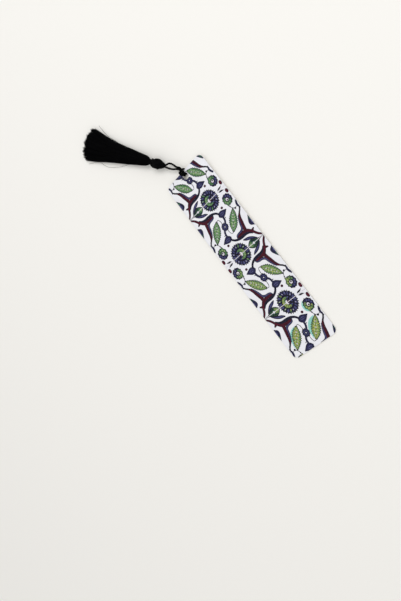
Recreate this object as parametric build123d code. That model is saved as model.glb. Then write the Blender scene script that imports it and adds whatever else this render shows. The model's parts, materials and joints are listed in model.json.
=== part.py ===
"""Bookmark: a printed slip with a black cord tassel hitched through its hole.

Sizes are in millimetres. The origin is the middle of the slip's back face, +Y points to the
tasselled end and +Z out of the printed face. Angles of the tassel are measured from +Y, to
the left as seen from the printed side.
"""

import math
import os

from build123d import *

os.makedirs("parts", exist_ok=True)

# Slip: a board core between two papers, with one punched hole
slip_width = 50.0
slip_length = 200.0
corner_radius = 5.0
core_thickness = 0.76
sheet_thickness = 0.12
hole_diameter = 6.0
hole_inset = 5.2

# Cord: one round cord, doubled, in a cow hitch round the strip between hole and top edge
cord_diameter = 1.5
hitch_slack = 0.25
cord_gap = 0.1
hole_strand_offset = 1.4
neck_length = 2.6
neck_start = 3.5
joint_gap = 0.35

# Knot and skirt, placed from the top edge's middle
knot_diameter = 10.0
knot_left = 14.8
knot_out = 22.7
knot_angle = 35.0
knot_stem = 8.6
skirt_length = 87.0
skirt_from_knot = 8.0
binding_thread = 0.4
binding_turns = 3
strand_rows = 7
strand_columns = 56

slip_thickness = core_thickness + 2 * sheet_thickness
top_edge = slip_length / 2
cord_radius = cord_diameter / 2
knot_radius = knot_diameter / 2


def floor_height(y):
    """Height of the table under the object, which lies on the slip's far end and the hitch."""
    hitch_bottom = -hitch_slack - cord_diameter
    return hitch_bottom * (y + top_edge) / (slip_length - 2.0)


def side_offset(direction, distance):
    """A step of the given length to the right of a level direction."""
    return Vector(direction.Y, -direction.X, 0) * distance


def upright(point, radius, height=12.0):
    """A cylinder on a vertical axis through a point."""
    return Pos(point.X, point.Y, point.Z) * Cylinder(radius, height)


def straight_tube(start, direction, length, radius):
    """A round rod from a point along a direction."""
    return extrude(Plane(origin=start, z_dir=direction) * Circle(radius), amount=length)


def swept_tube(route, radius):
    """A round tube along a line of straight runs and arcs, with its volume compared."""
    section = Plane(origin=route @ 0, z_dir=route % 0) * Circle(radius)
    tube = sweep(section, path=route)
    expected = math.pi * radius**2 * route.length
    print(f"  length {route.length:.2f}, volume {tube.volume:.2f} against {expected:.2f}")
    return tube


# The slip's three layers
def slip_layer(bottom, thickness):
    outline = RectangleRounded(slip_width, slip_length, corner_radius)
    punched = outline - Pos(0, top_edge - hole_inset) * Circle(hole_diameter / 2)
    return Pos(0, 0, bottom) * extrude(punched, amount=thickness)


back_sheet = slip_layer(0, sheet_thickness)
core_board = slip_layer(sheet_thickness, core_thickness)
front_sheet = slip_layer(sheet_thickness + core_thickness, sheet_thickness)

# The hitch: two legs go over the printed face, down the hole and back under the strip, and
# meet in a bar that comes round the edge and lies across them
front_height = slip_thickness + hitch_slack + cord_radius
back_height = -hitch_slack - cord_radius
bar_height = front_height + cord_diameter + 1.5 * cord_gap
hole_fold = (front_height - back_height) / 2 - 0.02
edge_fold = (bar_height - back_height) / 2 - 0.02
leg_offset = (cord_diameter + cord_gap) / 2
bight_offset = leg_offset + cord_diameter + cord_gap
rim = top_edge - hole_inset + math.sqrt((hole_diameter / 2) ** 2 - hole_strand_offset**2)
hole_turn = rim - hole_fold
edge_turn = top_edge + edge_fold - 0.4
bar_line = edge_turn - edge_fold - cord_diameter - 0.1

right_half = [
    (leg_offset, top_edge + neck_start, front_height),
    (leg_offset, top_edge - 0.5, front_height),
    (hole_strand_offset, hole_turn, front_height),
    (hole_strand_offset, hole_turn, back_height),
    (bight_offset, edge_turn, back_height),
    (bight_offset, edge_turn, bar_height),
    (bight_offset, bar_line, bar_height),
]
left_half = [(-x, y, z) for x, y, z in reversed(right_half)]
half_bends = [8.0, hole_fold, hole_fold, edge_fold, edge_fold, cord_diameter]
hitch_route = FilletPolyline(*right_half, *left_half, radius=half_bends + half_bends[::-1])
print("hitch bend radii", [round(bend, 2) for bend in half_bends])

swing_pivot = Vector(0, top_edge + neck_start, front_height)
cord_hitch = swept_tube(hitch_route, cord_radius)
pivot_reach = leg_offset + cord_radius
cord_hitch = cord_hitch - upright(swing_pivot, pivot_reach + joint_gap)

# Knot, and the line from the hitch to it
knot_turn = math.radians(knot_angle)
knot_direction = Vector(-math.sin(knot_turn), math.cos(knot_turn), 0)
knot_level = floor_height(top_edge + knot_out) + knot_radius + 0.02
knot_centre = Vector(-knot_left, top_edge + knot_out, knot_level)
stem_pivot = knot_centre - knot_direction * knot_stem
to_stem = stem_pivot - swing_pivot
loop_direction = Vector(to_stem.X, to_stem.Y, 0).normalized()
loop_angle = math.degrees(math.atan2(-loop_direction.X, loop_direction.Y))
lift_pivot = swing_pivot + loop_direction * neck_length
loop_length = Vector(stem_pivot.X - lift_pivot.X, stem_pivot.Y - lift_pivot.Y, 0).length
loop_rise = stem_pivot.Z - lift_pivot.Z

# The doubled run that leaves the hitch: round at the swing pivot, cut square at the lift pivot
neck_forward = neck_length - cord_radius - joint_gap
neck_tubes = []
for side in (leg_offset, -leg_offset):
    start = swing_pivot + side_offset(loop_direction, side)
    neck_tubes.append(straight_tube(start, loop_direction, neck_forward, cord_radius))
    root = straight_tube(start, loop_direction * -1, pivot_reach, cord_radius)
    neck_tubes.append(root & upright(swing_pivot, pivot_reach))
bridge = Pos(swing_pivot.X, swing_pivot.Y, swing_pivot.Z) * Cylinder(cord_gap, cord_radius)
cord_neck = bridge.fuse(*neck_tubes)


# The eye-shaped loop
def loop_point(along, aside):
    """A point of the loop: distance from the lift pivot, and distance to the right."""
    level = lift_pivot + loop_direction * (along * loop_length)
    return level + side_offset(loop_direction, aside) + Vector(0, 0, along * loop_rise)


def loop_leg(shape, bends):
    """One leg of the loop, round at the lift pivot and hollowed round the stem's pivot."""
    points = [loop_point(along, aside) for along, aside in shape]
    tube = swept_tube(FilletPolyline(*points, radius=bends), cord_radius)
    rounded = tube + Pos(*points[0]) * Sphere(cord_radius)
    return rounded - upright(stem_pivot, pivot_reach + joint_gap)


right_shape = [(0, leg_offset), (0.1, leg_offset), (0.42, 2.9), (0.74, 3.2), (0.93, leg_offset), (1, leg_offset)]
left_shape = [(0, -leg_offset), (0.1, -leg_offset), (0.38, -1.75), (0.72, -1.5), (0.93, -leg_offset), (1, -leg_offset)]
leg_bends = [2.5, 4.5, 2.4, 1.6]
print("loop bend radii", leg_bends)
cord_leg_right = loop_leg(right_shape, leg_bends)
cord_leg_left = loop_leg(left_shape, leg_bends)

# The ball-shaped knot with the two cord ends that enter it
stem_tubes = []
for side in (leg_offset, -leg_offset):
    start = stem_pivot + side_offset(knot_direction, side)
    stem_tubes.append(straight_tube(start, knot_direction, knot_stem - knot_radius + 2.0, cord_radius))
    root = straight_tube(start, knot_direction * -1, pivot_reach, cord_radius)
    stem_tubes.append(root & upright(stem_pivot, pivot_reach))
ball = Pos(*knot_centre) * Sphere(knot_radius)
button_knot = ball.fuse(*stem_tubes)

# The skirt's outline, as distance from the neck, reach to the right, to the left and upward
neck_centre = knot_centre + knot_direction * skirt_from_knot
head_radius = 1.85
skirt_pivot = neck_centre - knot_direction * 0.8
outline_along = [-0.8, 1.6, 3.0, 5.5, 10.0, 15.0, 26.0, 40.0, 54.0, 66.0, 82.0]
outline_right = [1.85, 1.85, 3.3, 4.6, 5.1, 5.6, 6.9, 8.4, 10.8, 13.8, 18.0]
outline_left = [1.85, 1.85, 3.3, 4.6, 5.6, 6.5, 8.4, 10.2, 12.4, 15.0, 19.2]
outline_up = [1.85, 1.85, 2.5, 3.1, 3.3, 3.3, 3.2, 2.9, 2.6, 2.3, 1.9]
shoulder_end = 15.0
outline_length = 81.0
stretch = (skirt_length - shoulder_end) / (outline_length - shoulder_end)


def along_outline(values, distance):
    """Value of an outline column at a distance from the neck."""
    for index in range(len(outline_along) - 1):
        low = outline_along[index]
        high = outline_along[index + 1]
        if distance <= high or index == len(outline_along) - 2:
            share = (distance - low) / (high - low)
            return values[index] + share * (values[index + 1] - values[index])


def skirt_level(distance):
    """Height of the skirt's middle: level with the knot at the neck, then down on the table."""
    lying = floor_height(neck_centre.Y + knot_direction.Y * distance)
    lying = lying + along_outline(outline_up, distance) + 0.05
    share = min(max((distance - 1.6) / 22.0, 0.0), 1.0)
    ease = share * share * (3 - 2 * share)
    return knot_level + ease * (lying - knot_level)


def skirt_point(distance, aside, level):
    """A point of the skirt, whose threads alone lengthen with it."""
    reach = distance + max(distance - shoulder_end, 0.0) * (stretch - 1)
    flat = neck_centre + knot_direction * reach + side_offset(knot_direction, aside)
    return Vector(flat.X, flat.Y, level)


# Head and shoulder, where the threads lie close, as one loft
shoulder_rings = []
for distance in outline_along[: outline_along.index(shoulder_end) + 1]:
    right = along_outline(outline_right, distance)
    left = along_outline(outline_left, distance)
    up = along_outline(outline_up, distance)
    middle = skirt_point(distance, (right - left) / 2, skirt_level(distance))
    across = side_offset(knot_direction, 1)
    ring = Plane(origin=middle, x_dir=across, z_dir=knot_direction) * Ellipse((right + left) / 2, up)
    shoulder_rings.append(ring)
shoulder = loft(shoulder_rings)
head = shoulder + Pos(*skirt_pivot) * Sphere(head_radius)


# Threads below the shoulder: rows and columns of four-sided strands, spread like a fan
def strand_end(share):
    """Where a thread ends: the outer ones hang back, a little more on the right."""
    drop = 9.5 if share > 0 else 4.5
    return outline_length - drop * share**2


def strand(share, height_share, column_step, row_step, ripple):
    """One thread as a solid through rectangles at fixed distances from the neck."""
    rings = []
    for distance in [shoulder_end - 1.0, 32.0, 50.0, 64.0, strand_end(share) + ripple]:
        right = along_outline(outline_right, distance)
        left = along_outline(outline_left, distance)
        up = along_outline(outline_up, distance)
        aside = (right - left) / 2 + share * (right + left) / 2
        level = skirt_level(distance) + height_share * up
        half_across = 0.40 * column_step * (right + left) / 2
        half_up = 0.36 * row_step * up
        corners = [(-1, -1), (1, -1), (1, 1), (-1, 1)]
        rings.append([skirt_point(distance, aside + x * half_across, level + z * half_up) for x, z in corners])
    faces = [Face(Wire.make_polygon(rings[0])), Face(Wire.make_polygon(rings[-1]))]
    for lower, upper in zip(rings, rings[1:]):
        for index in range(4):
            after = (index + 1) % 4
            faces.append(Face(Wire.make_polygon([lower[index], lower[after], upper[after], upper[index]])))
    return Solid(Shell(faces))


strands = []
spread = 0.93
row_step = spread * 2 * 0.88 / (strand_rows - 1)
for row in range(strand_rows):
    height_share = spread * 0.88 * (2 * row / (strand_rows - 1) - 1)
    half_row = spread * math.sqrt(1 - (height_share / spread) ** 2)
    count = round(strand_columns * half_row / spread)
    column_step = 2 * half_row / count
    for column in range(count):
        share = -half_row + column_step * (column + 0.5)
        ripple = 0.9 * math.sin(2.4 * len(strands)) * math.cos(0.7 * len(strands))
        strands.append(strand(share, height_share, column_step, row_step, ripple))
print("strands", len(strands))
thread_skirt = head.fuse(*strands)


# Binding thread round the neck: one unbroken helix of quarter turns
def biarc(start, start_way, end, end_way):
    """Two arcs that join two points with given directions."""
    span = end - start
    both = start_way + end_way
    bend = 2 * (1 - start_way.dot(end_way))
    push = span.dot(both)
    reach = (-push + math.sqrt(push**2 + bend * span.dot(span))) / bend
    middle = (start + start_way * reach + end - end_way * reach) * 0.5
    first = TangentArc(start, middle, tangent=start_way)
    second = TangentArc(middle, end, tangent=first % 1)
    return [first, second]


binding_pitch = binding_thread + 0.43
binding_radius = head_radius + binding_thread / 2 + 0.06
binding_start = -0.8 - 0.5 * binding_turns * binding_pitch + 0.86


def helix_point(turn):
    angle = 2 * math.pi * turn
    centre = neck_centre + knot_direction * (binding_start + binding_pitch * turn)
    across = side_offset(knot_direction, binding_radius * math.cos(angle))
    return centre + across + Vector(0, 0, binding_radius * math.sin(angle))


def helix_way(turn):
    angle = 2 * math.pi * turn
    rim_speed = 2 * math.pi * binding_radius
    across = side_offset(knot_direction, -rim_speed * math.sin(angle))
    way = across + Vector(0, 0, rim_speed * math.cos(angle)) + knot_direction * binding_pitch
    return way.normalized()


binding_arcs = []
for quarter in range(4 * binding_turns):
    ends = (quarter / 4, (quarter + 1) / 4)
    arcs = biarc(helix_point(ends[0]), helix_way(ends[0]), helix_point(ends[1]), helix_way(ends[1]))
    binding_arcs.extend(arcs)
binding_route = Wire([arc.edge() for arc in binding_arcs])
neck_binding = swept_tube(binding_route, binding_thread / 2)

samples = [binding_route @ (index / 240) for index in range(241)]
turn_samples = 240 / binding_turns
least_gap = min(
    (samples[a] - samples[b]).length - binding_thread
    for a in range(241)
    for b in range(a + round(turn_samples * 0.5), 241)
)
print(f"binding: {binding_turns} turns, least gap to itself {least_gap:.3f}")

print("swing pivot", swing_pivot, "lift pivot", lift_pivot)
print("stem pivot", stem_pivot, "skirt pivot", skirt_pivot)
print(f"loop angle {loop_angle:.2f}, loop length {loop_length:.2f}, knot centre {knot_centre}")
cord_total = hitch_route.length + 2 * neck_length + 2 * loop_length
print(f"cord from knot to knot about {cord_total:.1f}")

nodes = {
    "core_board": core_board,
    "front_sheet": front_sheet,
    "back_sheet": back_sheet,
    "cord_hitch": cord_hitch,
    "cord_neck": cord_neck,
    "cord_leg_left": cord_leg_left,
    "cord_leg_right": cord_leg_right,
    "button_knot": button_knot,
    "neck_binding": neck_binding,
    "thread_skirt": thread_skirt,
}
for name, shape in nodes.items():
    print(name, "solids", len(shape.solids()), "volume", round(shape.volume, 3), shape.bounding_box())
    export_step(shape, f"parts/{name}.step")
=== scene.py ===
"""Bookmark with a cord tassel: its finishes, tile ornament, cords, knot and threads.

Lengths in the drawing functions are millimetres, and MM turns them into Blender's metres.
The frame is the CAD model's: +Y points to the tasselled end, +Z out of the printed face.
"""
import json
import math
import random

import bmesh
import bpy
from bpy.props import FloatProperty, FloatVectorProperty, IntProperty, PointerProperty
from mathutils import Matrix, Vector


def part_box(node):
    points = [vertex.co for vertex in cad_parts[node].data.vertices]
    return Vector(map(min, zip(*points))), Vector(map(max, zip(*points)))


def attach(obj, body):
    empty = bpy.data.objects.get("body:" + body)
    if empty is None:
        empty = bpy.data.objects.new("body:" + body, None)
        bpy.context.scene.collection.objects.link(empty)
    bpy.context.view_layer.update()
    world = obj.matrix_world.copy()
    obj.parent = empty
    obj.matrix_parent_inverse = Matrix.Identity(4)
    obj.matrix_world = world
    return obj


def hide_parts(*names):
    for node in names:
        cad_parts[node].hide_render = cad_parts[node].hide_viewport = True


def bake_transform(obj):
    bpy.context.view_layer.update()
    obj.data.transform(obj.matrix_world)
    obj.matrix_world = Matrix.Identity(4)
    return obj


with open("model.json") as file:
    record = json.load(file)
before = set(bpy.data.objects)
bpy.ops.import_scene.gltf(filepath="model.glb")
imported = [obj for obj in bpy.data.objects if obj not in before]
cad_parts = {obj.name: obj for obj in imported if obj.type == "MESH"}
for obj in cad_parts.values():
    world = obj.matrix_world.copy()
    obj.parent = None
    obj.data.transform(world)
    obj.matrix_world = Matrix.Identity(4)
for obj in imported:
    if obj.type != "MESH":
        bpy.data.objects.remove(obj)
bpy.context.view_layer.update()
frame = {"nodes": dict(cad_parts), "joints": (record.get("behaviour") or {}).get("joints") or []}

bl_info = {
    "name": "Bookmark with tassel",
    "version": (1, 0, 0),
    "blender": (4, 5, 0),
    "location": "View3D > Sidebar > Bookmark",
    "description": "Dresses a bookmark slip with its print, cord, knot and thread tassel",
    "category": "Object",
}

MM = 0.001
UP = Vector((0, 0, 1))
PIVOTS = {joint["name"]: Vector(joint["pos_m"]) for joint in frame["joints"]}
SLIP_LOW, SLIP_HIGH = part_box("front_sheet")


def srgb(red, green, blue):
    """Blender's linear colour for a colour written in 0 to 255."""
    shares = (red / 255, green / 255, blue / 255)
    return tuple(c / 12.92 if c < 0.04045 else ((c + 0.055) / 1.055) ** 2.4 for c in shares)


def colour_property(name, description, default):
    return FloatVectorProperty(
        name=name, description=description, subtype="COLOR", size=3, min=0, max=1, default=default
    )


def length_property(name, description, millimetres):
    return FloatProperty(name=name, description=description, unit="LENGTH", default=millimetres * MM)


def number_property(name, description, default):
    return FloatProperty(name=name, description=description, default=default)


def count_property(name, description, default):
    return IntProperty(name=name, description=description, default=default)


class SlipSettings(bpy.types.PropertyGroup):
    """Papers of the slip and the layout of its printed tiles"""

    printed: colour_property("Printed paper", "Ground of the printed face", srgb(233, 233, 238))
    back: colour_property("Back paper", "Plain paper of the back", srgb(232, 229, 222))
    board: colour_property("Board", "Cut edge of the board core", srgb(206, 203, 198))
    first_joint: length_property("First joint", "Height of the tile joint past the top edge", 116.65)
    tile_pitch: length_property("Tile pitch", "Distance between tile joints", 58.25)
    joints: count_property("Joints", "Tile joints, two of them off the slip", 5)
    top_scale: number_property("Top scale", "Length of the print at the top, as a share", 0.9054)
    print_rise: length_property("Print rise", "How far the whole print is moved up", 0.4685)
    print_width: number_property("Print width", "Width of the print, as a share", 0.965)
    top_narrowing: number_property("Top narrowing", "Width that it loses at the top", 0.055)
    ink_step: length_property("Ink step", "Height from one ink to the next", 0.02)
    stroke_step: length_property("Stroke step", "Height from one stroke of an ink to the next", 0.0004)
    margin: length_property("Margin", "Bare rim between the inks and the cut edge", 0.12)
    corner: length_property("Corner", "Radius of the slip's corners", 5.0)
    hole: length_property("Hole", "Radius of the punched hole", 3.0)
    hole_inset: length_property("Hole inset", "Hole centre from the top edge", 5.2)


class InkSettings(bpy.types.PropertyGroup):
    """Inks of the tile ornament"""

    line: colour_property("Outline", "Dark drawn outline", srgb(17, 14, 24))
    cobalt: colour_property("Cobalt", "Dark blue of the flowers", srgb(44, 44, 84))
    lavender: colour_property("Lavender", "Greyed blue of petals and linings", srgb(88, 90, 134))
    teal: colour_property("Teal", "Blue green of the buds", srgb(44, 88, 76))
    leaf: colour_property("Leaf", "Green of the serrated leaves", srgb(82, 128, 84))
    young_leaf: colour_property("Young leaf", "Paler green inside leaves", srgb(124, 158, 114))
    low_leaf: colour_property("Low leaf", "Leaf green near the plain end", srgb(118, 144, 68))
    low_young: colour_property("Low young leaf", "Paler green near the plain end", srgb(170, 186, 114))
    straw: colour_property("Straw", "Yellow flecks in the lowest leaves", srgb(196, 172, 78))
    wine: colour_property("Wine", "Dark red of the split palmettes", srgb(88, 18, 40))
    pale: colour_property("Pale", "Eyes, blossoms and tile joints", srgb(226, 222, 228))
    sea: colour_property("Sea green", "Wash beside the lowest leaves", srgb(150, 212, 200))


class CordSettings(bpy.types.PropertyGroup):
    """Twisted cord of the hitch, loop and knot"""

    black: colour_property("Black", "Dyed cord", srgb(2, 2, 3))
    # painted sheen: this lighter black stands in for light caught by fibres that stand up; it is not wear
    painted_sheen: colour_property("Painted sheen black", "Where fibres catch the light", srgb(9, 9, 10))
    diameter: length_property("Diameter", "Cord diameter", 1.5)
    proud: length_property("Proud", "How far the plies stand out of that diameter", 0.2)
    half_pair: length_property("Half pair", "From the middle of the doubled cord to each run", 0.88)
    lay: length_property("Lay", "Length in which a ply goes once round", 5.0)
    bend: length_property("Bend", "Length of each run that bends at the loop's lift", 4.5)
    plies: count_property("Plies", "Plies twisted into the cord", 3)
    groove: number_property("Groove", "Depth between plies, as a share", 0.16)


class TasselSettings(bpy.types.PropertyGroup):
    """Ball knot, binding and thread skirt"""

    ball: length_property("Ball", "Middle radius of the knot's woven strands", 3.85)
    ball_stretch: number_property("Ball stretch", "Length of the ball over its width", 1.36)
    weave: length_property("Weave", "Rise and fall of strands where they cross", 0.5)
    stem: length_property("Stem", "From the knot's pivot to its middle", 8.6)
    ball_set: length_property("Ball set", "How far the ball is drawn toward the skirt", 1.7)
    neck: length_property("Neck", "From the knot's middle to the skirt's neck", 8.0)
    binding: length_property("Binding", "Diameter of the binding thread", 0.4)
    binding_turns: count_property("Binding turns", "Turns round the neck", 6)
    thread: length_property("Thread", "Diameter of a skirt thread", 0.26)
    threads: count_property("Threads", "Threads in each lock", 36)
    wander: length_property("Wander", "How far threads stray from their lock", 1.1)
    seed: count_property("Seed", "Seed of the loose threads", 11)
    black: colour_property("Black", "Dyed silky thread", srgb(2, 2, 3))
    sheen: colour_property("Sheen", "Lighter threads", srgb(9, 9, 10))


class StageSettings(bpy.types.PropertyGroup):
    """Floor, light and camera"""

    floor: colour_property("Floor", "Pale floor", srgb(240, 238, 233))
    world: number_property("Sky light", "Strength of the even light", 0.8)
    key: number_property("Key light", "Power of the large soft lamp", 8.5)
    lens: number_property("Lens", "Focal length in mm on a 36 mm sensor", 31.442)
    tilt: length_property("Tilt", "Fall of the floor along the slip, which lies on its hitch", 1.75)


# Small helpers for nodes and meshes
def node(tree, kind, **values):
    made = tree.nodes.new(kind)
    for name, value in values.items():
        setattr(made, name, value)
    return made


def feed(tree, target, *values):
    """Sets or links a node's inputs in order; None leaves an input as it is."""
    for socket, value in zip(target.inputs, values):
        if isinstance(value, bpy.types.NodeSocket):
            tree.links.new(value, socket)
        elif value is not None:
            socket.default_value = value


def maths(tree, operation, *values):
    made = node(tree, "ShaderNodeMath", operation=operation)
    feed(tree, made, *values)
    return made.outputs[0]


def mixed(tree, share, first, second, blend_type="MIX"):
    """Colour between two colours, which may be sockets."""
    made = node(tree, "ShaderNodeMix", data_type="RGBA", blend_type=blend_type)
    for name, value in (("Factor_Float", share), ("A_Color", first), ("B_Color", second)):
        socket = next(s for s in made.inputs if s.identifier == name)
        if isinstance(value, bpy.types.NodeSocket):
            tree.links.new(value, socket)
        else:
            socket.default_value = (*value, 1) if name != "Factor_Float" else value
    return next(s for s in made.outputs if s.identifier == "Result_Color")


def ranged(tree, value, low, high, start=0.0, end=1.0):
    """Maps a value that goes from a start to an end to a range."""
    made = node(tree, "ShaderNodeMapRange")
    feed(tree, made, value, start, end, low, high)
    return made.outputs[0]


def noise(tree, place, scale, detail, roughness):
    made = node(tree, "ShaderNodeTexNoise")
    feed(tree, made, place, None, scale, detail, roughness)
    return made


def group_sockets(tree, inputs, outputs):
    for name, kind, default in inputs:
        socket = tree.interface.new_socket(name, in_out="INPUT", socket_type=kind)
        if default is not None:
            socket.default_value = default
    for name, kind in outputs:
        tree.interface.new_socket(name, in_out="OUTPUT", socket_type=kind)
    return node(tree, "NodeGroupInput"), node(tree, "NodeGroupOutput")


def show(name, mesh, material=None):
    """Puts a mesh into the scene as a piece at the origin."""
    piece = bpy.data.objects.new(name, mesh)
    bpy.context.scene.collection.objects.link(piece)
    if material:
        mesh.materials.clear()
        mesh.materials.append(material)
    return piece


def plain_mesh(name, tree, values, base=None):
    """Evaluates a geometry node tree on a base mesh and returns the result as a mesh."""
    holder = show(name + "_nodes", base or bpy.data.meshes.new(name + "_base"))
    modifier = holder.modifiers.new("nodes", "NODES")
    modifier.node_group = tree
    for item in tree.interface.items_tree:
        if item.in_out == "INPUT" and item.name in values:
            modifier[item.identifier] = values[item.name]
    bpy.context.view_layer.update()
    evaluated = holder.evaluated_get(bpy.context.evaluated_depsgraph_get())
    mesh = bpy.data.meshes.new_from_object(evaluated)
    holder.modifiers.remove(modifier)
    bpy.data.objects.remove(holder)
    mesh.name = name
    return mesh


# Finishes: reflections, the depth of fibres and plies, and where leaves turn to their low tones
INK_SPECULAR = 0.16
DYED_SPECULAR = 0.03
FIBRE_DEPTH = 0.02 * MM
PLY_DEPTH = 0.06 * MM
LOW_TONES_START = 30.0 * MM
LOW_TONES_END = -75.0 * MM


# Shader groups that several finishes share
def paper_grain_group():
    """Fine fibres and broad blotches of paper and printed ink."""
    found = bpy.data.node_groups.get("paper_grain")
    if found:
        return found
    tree = bpy.data.node_groups.new("paper_grain", "ShaderNodeTree")
    inputs = [("Fibre scale", "NodeSocketFloat", 2600.0), ("Blotch scale", "NodeSocketFloat", 420.0)]
    outputs = [(name, "NodeSocketFloat") for name in ("Fibre", "Blotch", "Roughness", "Fleck")]
    entry, result = group_sockets(tree, inputs, outputs)
    place = node(tree, "ShaderNodeTexCoord").outputs["Object"]
    fibre = noise(tree, place, entry.outputs["Fibre scale"], detail=5.0, roughness=0.62).outputs[0]
    blotch = noise(tree, place, entry.outputs["Blotch scale"], detail=3.0, roughness=0.6).outputs[0]
    speck = noise(tree, place, scale=1300.0, detail=2.0, roughness=0.5).outputs[0]
    contrast = ranged(tree, blotch, 0.0, 1.0, start=0.32, end=0.68)
    rough = ranged(tree, fibre, 0.40, 0.56)
    fleck = ranged(tree, speck, 0.0, 1.0, start=0.56, end=0.66)
    feed(tree, result, fibre, contrast, rough, fleck)
    return tree


def spun_fibre_group():
    """Fibres that run along a spun cord or thread, read from its UV map."""
    found = bpy.data.node_groups.get("spun_fibre")
    if found:
        return found
    tree = bpy.data.node_groups.new("spun_fibre", "ShaderNodeTree")
    inputs = [("Fibres", "NodeSocketFloat", 30.0), ("Slant", "NodeSocketFloat", 0.35)]
    outputs = [(name, "NodeSocketFloat") for name in ("Fibre", "Roughness")]
    entry, result = group_sockets(tree, inputs, outputs)
    parts = node(tree, "ShaderNodeSeparateXYZ")
    tree.links.new(node(tree, "ShaderNodeTexCoord").outputs["UV"], parts.inputs[0])
    slanted = maths(tree, "MULTIPLY", parts.outputs["Y"], entry.outputs["Slant"])
    turn = maths(tree, "MULTIPLY", maths(tree, "ADD", parts.outputs["X"], slanted), entry.outputs["Fibres"])
    along = maths(tree, "MULTIPLY", parts.outputs["Y"], 0.9)
    joined = node(tree, "ShaderNodeCombineXYZ")
    feed(tree, joined, turn, along, 0.0)
    fibre = noise(tree, joined.outputs[0], scale=1.0, detail=4.0, roughness=0.65).outputs[0]
    feed(tree, result, fibre, ranged(tree, fibre, 0.38, 0.68))
    return tree


def finish_material(name):
    """A new material, its node tree and its Principled shader."""
    material = bpy.data.materials.new(name)
    material.use_nodes = True
    return material, material.node_tree, material.node_tree.nodes["Principled BSDF"]


def place_group(tree, group, **values):
    placed = node(tree, "ShaderNodeGroup", node_tree=group)
    for name, value in values.items():
        placed.inputs[name.replace("_", " ").capitalize()].default_value = value
    return placed


def add_bump(tree, shader, height, strength, distance):
    bump = node(tree, "ShaderNodeBump")
    bump.inputs["Strength"].default_value = strength
    bump.inputs["Distance"].default_value = distance
    tree.links.new(height, bump.inputs["Height"])
    tree.links.new(bump.outputs[0], shader.inputs["Normal"])


def paper(name, colour, darker, fibre_scale, bump):
    """Paper or board: a slightly uneven tone with a fibre bump."""
    material, tree, shader = finish_material(name)
    grain = place_group(tree, paper_grain_group(), fibre_scale=fibre_scale, blotch_scale=160.0)
    shade = tuple(c * darker for c in colour)
    tone = mixed(tree, grain.outputs["Blotch"], colour, shade)
    soft = ranged(tree, grain.outputs["Fibre"], 0.93, 1.05)
    tree.links.new(mixed(tree, 1.0, tone, soft, "MULTIPLY"), shader.inputs["Base Color"])
    tree.links.new(grain.outputs["Roughness"], shader.inputs["Roughness"])
    add_bump(tree, shader, grain.outputs["Fibre"], bump, FIBRE_DEPTH)
    return material


def down_the_slip(tree):
    """0 on the upper part of the slip, rising to 1 near its plain end."""
    parts = node(tree, "ShaderNodeSeparateXYZ")
    tree.links.new(node(tree, "ShaderNodeTexCoord").outputs["Object"], parts.inputs[0])
    return ranged(tree, parts.outputs["Y"], 0.0, 1.0, start=LOW_TONES_START, end=LOW_TONES_END)


def ink(name, colour, second, blotch_scale=520.0, low=None, fleck=None):
    """Printed ink: the tone wanders between two colours as in brushed glaze.

    It may turn to a pair of low tones toward the plain end. Flecks have an upper and a low tone.
    """
    material, tree, shader = finish_material("ink_" + name)
    grain = place_group(tree, paper_grain_group(), fibre_scale=2600.0, blotch_scale=blotch_scale)
    tone = mixed(tree, grain.outputs["Blotch"], colour, second)
    if low:
        tone = mixed(tree, down_the_slip(tree), tone, mixed(tree, grain.outputs["Blotch"], *low))
    if fleck:
        tone = mixed(tree, grain.outputs["Fleck"], tone, mixed(tree, down_the_slip(tree), *fleck))
    soft = ranged(tree, grain.outputs["Fibre"], 0.8, 1.18)
    tree.links.new(mixed(tree, 1.0, tone, soft, "MULTIPLY"), shader.inputs["Base Color"])
    tree.links.new(grain.outputs["Roughness"], shader.inputs["Roughness"])
    shader.inputs["Specular IOR Level"].default_value = INK_SPECULAR
    add_bump(tree, shader, grain.outputs["Fibre"], 0.25, FIBRE_DEPTH)
    return material


def spun_cord(name, black, painted_sheen, fibres, slant):
    """Dyed cord: fibres along the plies, with a painted sheen: a lighter black where they stand up and would
    catch the light.
    """
    found = bpy.data.materials.get(name)
    if found:
        return found
    material, tree, shader = finish_material(name)
    spun = place_group(tree, spun_fibre_group(), fibres=fibres, slant=slant)
    # painted sheen: the fibre pattern mixes the black with the lighter black that stands in for caught light
    tone = mixed(tree, spun.outputs["Fibre"], black, painted_sheen)
    tree.links.new(tone, shader.inputs["Base Color"])
    tree.links.new(spun.outputs["Roughness"], shader.inputs["Roughness"])
    shader.inputs["Specular IOR Level"].default_value = DYED_SPECULAR
    add_bump(tree, shader, spun.outputs["Fibre"], 0.7, PLY_DEPTH)
    return material


def twisted_finish(settings):
    """The cord's own finish, on the hitch, the loop and the knot."""
    # the second colour is the fibres' painted sheen
    return spun_cord("twisted_cord", settings.black, settings.painted_sheen, fibres=30.0, slant=0.35)


def silky_thread(black, sheen):
    """Skirt threads: each one has its own shade, stored on the mesh."""
    found = bpy.data.materials.get("silky_thread")
    if found:
        return found
    material, tree, shader = finish_material("silky_thread")
    shade = node(tree, "ShaderNodeAttribute", attribute_name="thread_shade").outputs["Fac"]
    squared = maths(tree, "MULTIPLY", shade, shade)
    tree.links.new(mixed(tree, squared, black, sheen), shader.inputs["Base Color"])
    tree.links.new(ranged(tree, shade, 0.72, 0.55), shader.inputs["Roughness"])
    shader.inputs["Specular IOR Level"].default_value = DYED_SPECULAR
    return material


# Lines and tubes
CORD_SIDES = 18
PLY_ROUNDNESS = 0.8


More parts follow.
